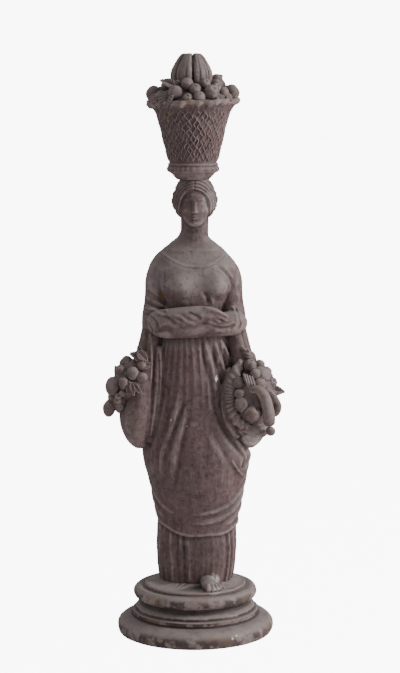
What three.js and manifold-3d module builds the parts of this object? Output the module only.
// A cast metal garden statue of a goddess of plenty. She stands with folded arms on a round moulded
// plinth, holds a cloth pouch full of fruit at each side, and carries a basket of fruit on her head.
// Millimetres, +Z up. The origin is the centre of the plinth's underside, and she faces -Y.

import * as THREE from 'three';
import { mergeVertices } from 'three/addons/utils/BufferGeometryUtils.js';
import Module from 'manifold-3d';

const wasm = await Module();
wasm.setup();

// Driving dimensions
const TOTAL_HEIGHT = 1200;
const PLINTH_HEIGHT = 98;
const PLINTH_RADIUS = 163;
const FOOTPLATE_RADIUS = 105;
const FOOTPLATE_TOP = 104;
const AXIS_Y = 24; // the figure stands a little behind the plinth's centre
const HEAD_TOP = 944; // where the basket's foot rests
const BASKET_AXIS_Y = 14;
const BASKET_RIM = 1098;
const OVERSKIRT_HEM = 208; // the overskirt's lowest point, at the front
const NECK_BASE = 838;
const WAIST = 640; // under the folded arms

const ROUND = 30; // sides of the turned plinth
const BODY_SIDES = 36;
const WELD_DISTANCE = 1e-4; // corners nearer than this are one corner

// The figure's outline from the side of the hem to under the chin, measured from her own axis:
// height, half width, depth in front of the axis, depth behind it
const BODY_STATIONS = [
  [101, 74, 52, 56],
  [130, 77, 55, 58],
  [200, 79, 56, 60],
  [262, 87, 61, 64],
  [310, 97, 66, 68],
  [350, 104, 69, 71],
  [385, 106, 70, 73],
  [430, 99, 69, 74],
  [480, 91, 67, 73],
  [540, 83, 63, 67],
  [600, 75, 56, 57],
  [645, 70, 51, 50],
  [680, 70, 50, 49],
  [705, 80, 51, 50],
  [730, 90, 52, 51],
  [752, 92, 50, 50],
  [770, 86, 45, 47],
  [786, 76, 38, 43],
  [802, 58, 32, 38],
  [818, 38, 27, 34],
  [NECK_BASE, 28, 24, 30],
  [856, 26, 23, 29],
  [880, 26, 23, 29],
];

// Small helpers

const degrees = (value) => (value * Math.PI) / 180;
const clamp01 = (value) => Math.min(1, Math.max(0, value));
const smooth = (from, to, value) => {
  const t = clamp01((value - from) / (to - from));
  return t * t * (3 - 2 * t);
};
const point = (x, y, z) => new THREE.Vector3(x, y, z);

// A smooth value between stations [position, value, value, ...], by a Catmull-Rom curve
function between(stations, position) {
  const last = stations.length - 1;
  let i = stations.findIndex((station) => station[0] > position) - 1;
  if (i < 0) i = position <= stations[0][0] ? 0 : last - 1;
  const [a, b] = [stations[i], stations[i + 1]];
  const [before, after] = [stations[Math.max(0, i - 1)], stations[Math.min(last, i + 2)]];
  const t = clamp01((position - a[0]) / (b[0] - a[0]));
  return a.slice(1).map((value, k) => {
    const slopeA = (b[k + 1] - before[k + 1]) / (b[0] - before[0]);
    const slopeB = (after[k + 1] - value) / (after[0] - a[0]);
    const span = b[0] - a[0];
    return (
      value * (2 * t ** 3 - 3 * t ** 2 + 1) +
      slopeA * span * (t ** 3 - 2 * t ** 2 + t) +
      b[k + 1] * (3 * t ** 2 - 2 * t ** 3) +
      slopeB * span * (t ** 3 - t ** 2)
    );
  });
}

// A closed geometry over a stack of rings, each with the same number of points and anticlockwise
// seen from the last ring. Crossed faces are split along alternate diagonals, which makes diamonds.
function skin(rings, crossed = false) {
  const sides = rings[0].length;
  const positions = rings.flat().flatMap((p) => [p.x, p.y, p.z]);
  const middle = (ring) => ring.reduce((sum, p) => sum.add(p), point(0, 0, 0)).divideScalar(sides);
  const first = middle(rings[0]);
  const last = middle(rings[rings.length - 1]);
  positions.push(first.x, first.y, first.z, last.x, last.y, last.z);
  const bottom = rings.length * sides;
  const faces = [];
  const turned = (ring, side) => crossed && (ring + side) % 2 === 1;
  for (let ring = 0; ring < rings.length - 1; ring += 1) {
    for (let side = 0; side < sides; side += 1) {
      const a = ring * sides + side;
      const b = ring * sides + ((side + 1) % sides);
      if (turned(ring, side)) faces.push(a, b, a + sides, b, b + sides, a + sides);
      else faces.push(a, b, b + sides, a, b + sides, a + sides);
    }
  }
  for (let side = 0; side < sides; side += 1) {
    const next = (side + 1) % sides;
    const top = (rings.length - 1) * sides;
    faces.push(bottom, next, side, bottom + 1, top + side, top + next);
  }
  const geometry = new THREE.BufferGeometry();
  geometry.setAttribute('position', new THREE.Float32BufferAttribute(positions, 3));
  geometry.setIndex(faces);
  return geometry;
}

// A limb or fold of cloth: round or oval sections along a smooth curve.
// Each station is [x, y, z, radius across, radius along 'flat'], where flat is the oval's short axis.
function limb(stations, sides, steps, flat = point(0, -1, 0)) {
  const curve = new THREE.CatmullRomCurve3(stations.map(([x, y, z]) => point(x, y, z)));
  const rings = [];
  for (let step = 0; step <= steps; step += 1) {
    const t = step / steps;
    const at = t * (stations.length - 1);
    const i = Math.min(stations.length - 2, Math.floor(at));
    const part = smooth(0, 1, at - i);
    const across = THREE.MathUtils.lerp(stations[i][3], stations[i + 1][3], part);
    const along = THREE.MathUtils.lerp(
      stations[i][4] ?? stations[i][3], stations[i + 1][4] ?? stations[i + 1][3], part,
    );
    const centre = curve.getPoint(t);
    const tangent = curve.getTangent(t);
    const side = tangent.clone().cross(flat).normalize();
    const up = side.clone().cross(tangent).normalize();
    rings.push(ringPoints(sides, (angle) => centre.clone()
      .addScaledVector(side, across * Math.cos(angle))
      .addScaledVector(up, -along * Math.sin(angle))));
  }
  return skin(rings);
}

function ringPoints(sides, pointAt) {
  return Array.from({ length: sides }, (_, k) => pointAt((k * 2 * Math.PI) / sides));
}

// Joining and cutting

function solid(geometry) {
  const bare = geometry.clone();
  bare.deleteAttribute('normal');
  bare.deleteAttribute('uv');
  const merged = mergeVertices(bare, WELD_DISTANCE);
  return new wasm.Manifold(new wasm.Mesh({
    numProp: 3,
    vertProperties: new Float32Array(merged.attributes.position.array),
    triVerts: new Uint32Array(merged.index.array),
  }));
}

// One casting: all the forms joined, with any space that they close off filled in
function joined(geometries) {
  const whole = geometries.map(solid).reduce((sum, next) => sum.add(next));
  const shells = whole.decompose();
  return shells.reduce((outer, shell) => (shell.volume() > outer.volume() ? shell : outer));
}

function geometryOf(manifold) {
  const mesh = manifold.getMesh();
  const geometry = new THREE.BufferGeometry();
  geometry.setAttribute('position', new THREE.Float32BufferAttribute(mesh.vertProperties, 3));
  geometry.setIndex(Array.from(mesh.triVerts));
  return geometry;
}

// Plinth: two rounded mouldings with a hollow between them, turned as one

function plinthProfile() {
  const arc = (cx, cz, rx, rz, from, to, steps) => Array.from({ length: steps + 1 }, (_, k) => {
    const angle = degrees(from + ((to - from) * k) / steps);
    return new THREE.Vector2(cx + rx * Math.cos(angle), cz + rz * Math.sin(angle));
  });
  const lowerBulge = 31;
  const jointRadius = PLINTH_RADIUS - lowerBulge;
  const lowerTop = 37;
  const upperBulge = 13;
  const upperRadius = 129;
  return [
    new THREE.Vector2(0, 0),
    new THREE.Vector2(PLINTH_RADIUS - 7, 0),
    ...arc(PLINTH_RADIUS - lowerBulge, 14, lowerBulge, lowerTop - 14, -18, 84, 4),
    new THREE.Vector2(jointRadius, lowerTop + 2),
    new THREE.Vector2(jointRadius, lowerTop + 11),
    new THREE.Vector2(jointRadius - 6, lowerTop + 13),
    new THREE.Vector2(jointRadius - 9, lowerTop + 19),
    ...arc(upperRadius - 8, PLINTH_HEIGHT - 33, 10, 8, 240, 130, 2),
    ...arc(upperRadius - upperBulge, PLINTH_HEIGHT - upperBulge, upperBulge, upperBulge, -80, 90, 4),
    new THREE.Vector2(0, PLINTH_HEIGHT),
  ];
}

function plinth() {
  const lathe = new THREE.LatheGeometry(plinthProfile(), ROUND);
  lathe.rotateX(Math.PI / 2);
  return geometryOf(solid(lathe));
}

// Drapery relief, in millimetres outwards, at an angle round her axis and a height.
// Angle 0 is her left side at +X, and the front is at -90 degrees.

// The overskirt's hem is lowest in front and this much higher at the sides
const HEM_RISE = 26;
const hemHeight = (angle) => OVERSKIRT_HEM + HEM_RISE * (1 - Math.max(0, -Math.sin(angle)) ** 2);

// Folds and pleats that run round the whole skirt
const PLEATS = 12;

function lowerPleats(angle) {
  const depth = 4.5;
  const uneven = 1.2 * Math.cos(5 * angle);
  return depth * Math.cos(PLEATS * angle) + uneven;
}

// Narrow folds that fall from the waist and run out over the thighs
function waistGathers(angle, z) {
  const depth = 2.6 * smooth(330, 430, z) * (1 - smooth(610, WAIST, z));
  const drift = 0.003 * (z - 400);
  return depth * Math.cos(PLEATS * angle + drift);
}

// Curved folds that swing from the pouches round the front of the thighs
function swags(angle, z) {
  const depth = 4.5;
  const spacing = 58;
  const lowest = 262;
  const droop = 66; // how far a fold hangs down in front
  const front = Math.max(0, -Math.sin(angle));
  const sweep = z + droop * front ** 2;
  const reach = 0.3 + 0.7 * Math.abs(Math.cos(angle));
  const band = smooth(232, 268, z) * (1 - smooth(350, 410, z));
  return depth * band * reach * Math.cos((2 * Math.PI * (sweep - lowest)) / spacing);
}

function skirtRelief(angle, z) {
  const hem = hemHeight(angle);
  const thickness = 4;
  const overskirt = smooth(hem - 7, hem + 5, z);
  const folds = thickness + swags(angle, z) + waistGathers(angle, z);
  const above = folds * (1 - smooth(WAIST - 50, WAIST, z));
  return (1 - overskirt) * lowerPleats(angle) + overskirt * above;
}

// The bust, fullest a little below its middle
function bustRelief(angle, z) {
  const depth = 14;
  const fullest = 722;
  const halfHeight = 24;
  const aside = degrees(35);
  const halfAngle = degrees(17);
  const drop = (z - fullest) / halfHeight;
  const fromFront = Math.abs(Math.atan2(Math.cos(angle), -Math.sin(angle)));
  const across = (fromFront - aside) / halfAngle;
  return fromFront < degrees(90) ? depth * Math.exp(-(drop ** 2) - across ** 2) : 0;
}

const drapery = (angle, z) => (z < WAIST ? skirtRelief(angle, z) : bustRelief(angle, z));

function bodyRing(z, sides) {
  const [halfWidth, front, back] = between(BODY_STATIONS, z);
  const squareness = 2 / 2.25;
  return ringPoints(sides, (angle) => {
    const c = Math.cos(angle);
    const s = Math.sin(angle);
    const x = halfWidth * Math.sign(c) * Math.abs(c) ** squareness;
    const y = (s < 0 ? front : back) * Math.sign(s) * Math.abs(s) ** squareness;
    const out = drapery(angle, z);
    return point(x + out * c, AXIS_Y + y + out * s, z);
  });
}

function body() {
  const levels = [
    101, 194, 207, 220, 236, 254, 272, 292, 314, 344, 390, 450,
    520, 600, 645, 688, 706, 724, 744, 768, 790, 812, NECK_BASE, 880,
  ];
  return skin(levels.map((z) => bodyRing(z, BODY_SIDES)));
}

function footplate() {
  const disc = new THREE.LatheGeometry([
    new THREE.Vector2(0, PLINTH_HEIGHT),
    new THREE.Vector2(FOOTPLATE_RADIUS, PLINTH_HEIGHT),
    new THREE.Vector2(FOOTPLATE_RADIUS - 1.5, FOOTPLATE_TOP),
    new THREE.Vector2(0, FOOTPLATE_TOP),
  ], ROUND);
  return disc.rotateX(Math.PI / 2);
}

function foot() {
  const ankle = [30, AXIS_Y - 10, FOOTPLATE_TOP + 14, 17, 13];
  const instep = [33, AXIS_Y - 62, FOOTPLATE_TOP + 10, 19, 12];
  const toes = [36, AXIS_Y - 98, FOOTPLATE_TOP + 4, 20, 8];
  const tip = [37, AXIS_Y - 116, FOOTPLATE_TOP + 2, 13, 5];
  return limb([ankle, instep, toes, tip], 8, 5, point(0, 0, 1));
}

// The chest, arms and the cloth that hangs from the arms. side is -1 for her right and 1 for her left.

function upperArm(side) {
  return limb([
    [side * 64, AXIS_Y + 2, 762, 18, 24],
    [side * 72, AXIS_Y, 735, 23, 30],
    [side * 75, AXIS_Y - 3, 705, 23, 31],
    [side * 79, AXIS_Y - 8, 672, 25, 32],
    [side * 84, AXIS_Y - 14, 640, 23, 29],
  ], 9, 4);
}

// Her right forearm lies above the left one, with its hand closed over the left sleeve
function rightForearm() {
  return limb([
    [-92, AXIS_Y - 14, 650, 20, 22],
    [-70, AXIS_Y - 42, 654, 26, 26],
    [-36, AXIS_Y - 60, 659, 24, 22],
    [4, AXIS_Y - 72, 669, 20, 17],
    [34, AXIS_Y - 74, 671, 17, 14],
    [60, AXIS_Y - 68, 664, 14, 12],
    [80, AXIS_Y - 56, 655, 8, 8],
  ], 8, 7);
}

function leftForearm() {
  return limb([
    [92, AXIS_Y - 18, 650, 20, 21],
    [82, AXIS_Y - 44, 653, 22, 22],
    [46, AXIS_Y - 60, 651, 20, 20],
    [4, AXIS_Y - 62, 645, 16, 17],
    [-34, AXIS_Y - 58, 638, 14, 15],
    [-62, AXIS_Y - 48, 633, 10, 11],
  ], 8, 6);
}

// Cloth that falls from the crook of an arm and widens into the pouch
function hangingCloth(side) {
  return limb([
    [side * 86, AXIS_Y - 14, 648, 22, 28],
    [side * 92, AXIS_Y - 12, 610, 20, 32],
    [side * 98, AXIS_Y - 14, 570, 23, 40],
    [side * 106, AXIS_Y - 16, 530, 31, 47],
    [side * 116, AXIS_Y - 20, 485, 38, 52],
    [side * 118, AXIS_Y - 18, 445, 38, 50],
    [side * 112, AXIS_Y - 12, 412, 29, 40],
    [side * 104, AXIS_Y - 8, 390, 12, 20],
  ], 12, 7);
}

// Fruit and leaves. Each stands at a list or vector of x, y and z.

function berry([x, y, z], size, stretch = 1) {
  const form = new THREE.SphereGeometry(size, 7, 4);
  form.rotateX(Math.PI / 2);
  form.scale(1, 1, stretch);
  return form.translate(x, y, z);
}

// A pointed leaf of even thickness that points along 'towards'
function leaf([x, y, z], length, width, towards, thickness = 5) {
  const form = new THREE.SphereGeometry(1, 6, 2);
  form.scale(length / 2, width / 2, thickness / 2);
  const turn = new THREE.Quaternion().setFromUnitVectors(point(1, 0, 0), towards.clone().normalize());
  return form.applyQuaternion(turn).translate(x, y, z);
}

function rightPouchFruit() {
  const round = [
    { at: [-177, 12, 472], size: 13, stretch: 1.6 }, // fig
    { at: [-169, -10, 516], size: 15, stretch: 1.35 }, // apple
    { at: [-150, -18, 549], size: 12.5 },
    { at: [-141, 4, 566], size: 12 },
    { at: [-129, -34, 544], size: 14 },
    { at: [-110, -40, 533], size: 12 },
    { at: [-113, -34, 558], size: 10 },
    { at: [-147, -38, 521], size: 13 },
    { at: [-156, -26, 493], size: 12 },
    { at: [-154, 30, 522], size: 20 },
    { at: [-133, 2, 522], size: 42 },
  ];
  return [
    ...round.map(({ at, size, stretch }) => berry(at, size, stretch)),
    leaf([-128, -8, 580], 26, 15, point(-0.6, 0, 1)),
    leaf([-112, -22, 580], 30, 18, point(-0.2, -0.4, 1)),
    leaf([-128, -42, 514], 30, 14, point(0.7, 0, -1)),
  ];
}

function leftPouchFruit() {
  const round = [
    { at: [136, -10, 566], size: 11 },
    { at: [114, -28, 562], size: 13.5 },
    { at: [137, -28, 548], size: 11.5 },
    { at: [151, -16, 546], size: 12 },
    { at: [162, -20, 525], size: 11 },
    { at: [137, -46, 533], size: 14 },
    { at: [91, -44, 531], size: 11 },
    { at: [99, -50, 492], size: 15.5 },
    { at: [121, -56, 474], size: 17.5 },
    { at: [154, -44, 431], size: 9.5 },
    { at: [148, 18, 528], size: 17 },
    { at: [131, -16, 508], size: 44 },
  ];
  const gourd = [
    [108, -50, 524, 8],
    [124, -58, 532, 12],
    [141, -62, 518, 13],
    [149, -60, 485, 13],
    [153, -50, 446, 12.5],
    [154, -46, 436, 6],
  ];
  const longPod = [
    [150, -40, 516, 6],
    [166, -42, 500, 9],
    [176, -38, 480, 10],
    [168, -32, 462, 9],
    [152, -30, 454, 4],
  ];
  const ribbedBud = [
    [110, -54, 560, 5],
    [117, -56, 546, 10],
    [126, -56, 528, 9],
  ];
  return [
    ...round.map(({ at, size, stretch }) => berry(at, size, stretch)),
    limb(gourd, 7, 5, point(1, 0, 0.2)),
    limb(longPod, 6, 4, point(0, -1, 0)),
    limb(ribbedBud, 6, 3, point(1, 0, 0.5)),
    leaf([174, -20, 512], 28, 15, point(1, -0.1, -0.35)),
  ];
}

// Head

function head() {
  const middle = 1; // the head stands this far towards her left
  const face = [ // height, half width, half depth
    [850, 12, 12],
    [858, 21, 22],
    [872, 28, 33],
    [892, 33, 40],
    [914, 34, 41],
    [936, 28, 35],
    [950, 16, 22],
  ];
  const oval = skin(face.map(([z, across, along]) => ringPoints(12, (angle) => {
    const x = middle + across * Math.cos(angle);
    const y = AXIS_Y - 14 + along * Math.sin(angle);
    return point(x, y, z);
  })));
  const nose = limb([
    [middle, AXIS_Y - 50, 908, 4, 4],
    [middle, AXIS_Y - 57, 889, 6, 5],
    [middle, AXIS_Y - 50, 882, 4, 2],
  ], 5, 2);
  return [oval, nose];
}

// Waved hair, drawn back from a middle parting over the ears to a knot behind
function hair() {
  const stations = [ // height, half width, half depth
    [868, 14, 18],
    [879, 32, 33],
    [892, 42, 42],
    [906, 44, 46],
    [922, 41, 46],
    [936, 33, 40],
    [950, 22, 28],
  ];
  const faceHalfAngle = degrees(48);
  const setBack = 0.45; // share of the hair's depth that is left out in front of the face
  const waveDepth = 1.5;
  const cap = skin(stations.map(([z, across, along]) => ringPoints(16, (angle) => {
    const fromFront = Math.abs(Math.atan2(Math.cos(angle), -Math.sin(angle)));
    const open = 1 - smooth(faceHalfAngle * 0.6, faceHalfAngle, fromFront);
    const parted = open * smooth(940, 918, z);
    const wave = waveDepth * Math.cos(0.3 * z + 2 * fromFront);
    const scale = 1 - setBack * parted;
    const x = (across + wave) * scale * Math.cos(angle);
    const y = AXIS_Y - 6 + (along + wave) * scale * Math.sin(angle);
    return point(x, y, z);
  })));
  const knot = new THREE.SphereGeometry(1, 7, 5);
  knot.scale(21, 18, 20);
  knot.translate(0, AXIS_Y + 37, 886);
  return [cap, knot];
}

function figure() {
  const pieces = [
    footplate(), body(), foot(),
    ...[-1, 1].flatMap((side) => [upperArm(side), hangingCloth(side)]),
    rightForearm(), leftForearm(),
    ...head(), ...hair(),
    ...rightPouchFruit(), ...leftPouchFruit(),
  ];
  const room = { width: 200, height: 100 };
  const roomAbove = new THREE.BoxGeometry(room.width, room.width, room.height);
  roomAbove.translate(0, AXIS_Y, HEAD_TOP + room.height / 2);
  return geometryOf(joined(pieces).subtract(solid(roomAbove)));
}

// Basket of fruit, with the pad that it stands on cast on below

const aroundBasket = (angle, radius, z) => point(
  radius * Math.cos(angle),
  BASKET_AXIS_Y + radius * Math.sin(angle),
  z,
);

function basketWall() {
  const stations = [ // height, radius
    [HEAD_TOP, 32],
    [HEAD_TOP + 8, 33],
    [HEAD_TOP + 16, 38],
    [HEAD_TOP + 19, 52],
    [HEAD_TOP + 29, 52],
  ];
  const rows = 6;
  const strandDepth = 1.6;
  const wallBottom = HEAD_TOP + 38;
  const weaveTop = BASKET_RIM - 14;
  for (let row = 0; row <= rows; row += 1) {
    const t = row / rows;
    stations.push([wallBottom + (weaveTop - wallBottom) * t, 48 + 20 * t + 10 * t ** 4, row]);
  }
  stations.push([BASKET_RIM - 6, 90], [BASKET_RIM, 93], [BASKET_RIM + 6, 88]);
  const sides = 30;
  return skin(stations.map(([z, radius, row]) => ringPoints(sides, (angle) => {
    const k = Math.round((angle * sides) / (2 * Math.PI));
    const strand = row === undefined ? 0 : strandDepth * ((k + row) % 2 ? 1 : -1);
    return aroundBasket(angle, radius + strand, z);
  })), true);
}

// The large ribbed fruit that stands in the middle, open at its tip
function ribbedFruit() {
  const ribs = 7;
  const grooveShare = 0.13; // groove depth over radius
  const stations = [ // height, radius
    [1128, 38],
    [1150, 44],
    [1166, 42],
    [1180, 36],
    [1192, 27],
    [TOTAL_HEIGHT, 14],
  ];
  return skin(stations.map(([z, radius]) => ringPoints(3 * ribs, (angle) => {
    const groove = Math.abs(Math.cos((ribs * (angle + Math.PI / 2)) / 2)) ** 6;
    return aroundBasket(angle, radius * (1 - grooveShare * groove), z);
  })));
}

function ringOfFruit(count, radius, z, size, turn) {
  return Array.from({ length: count }, (_, k) => {
    const angle = turn + (k * 2 * Math.PI) / count;
    const swell = size * (1 + 0.1 * Math.sin(5 * angle + 1));
    return berry(aroundBasket(angle, radius, z), swell);
  });
}

// Leaves that hang over the rim
function rimLeaves() {
  const count = 7;
  const firstAngle = degrees(-116);
  const radius = 86;
  return Array.from({ length: count }, (_, k) => {
    const angle = firstAngle + (k * 2 * Math.PI) / count;
    const out = point(Math.cos(angle), Math.sin(angle), -0.35);
    return leaf(aroundBasket(angle, radius, BASKET_RIM + 5), 34, 26, out, 8);
  });
}

function fruitBasket() {
  const heap = new THREE.SphereGeometry(1, 10, 4);
  const heapSize = { radius: 70, height: 40 };
  heap.scale(heapSize.radius, heapSize.radius, heapSize.height);
  heap.translate(0, BASKET_AXIS_Y, BASKET_RIM);
  return geometryOf(joined([
    basketWall(), heap, ribbedFruit(),
    ...ringOfFruit(13, 78, BASKET_RIM + 20, 16, degrees(-90)),
    ...ringOfFruit(7, 52, BASKET_RIM + 33, 15, degrees(-78)),
    ...rimLeaves(),
  ]));
}

// The assembled object

const castMetal = (color) => new THREE.MeshStandardMaterial({ color, roughness: 0.72, metalness: 0.35 });

const statue = new THREE.Group();
const parts = {
  plinth: [plinth(), castMetal(0x6b605e)],
  figure: [figure(), castMetal(0x64565a)],
  fruit_basket: [fruitBasket(), castMetal(0x5f5252)],
};
for (const [name, [geometry, material]] of Object.entries(parts)) {
  const mesh = new THREE.Mesh(geometry, material);
  mesh.name = name;
  statue.add(mesh);
}

export default statue;
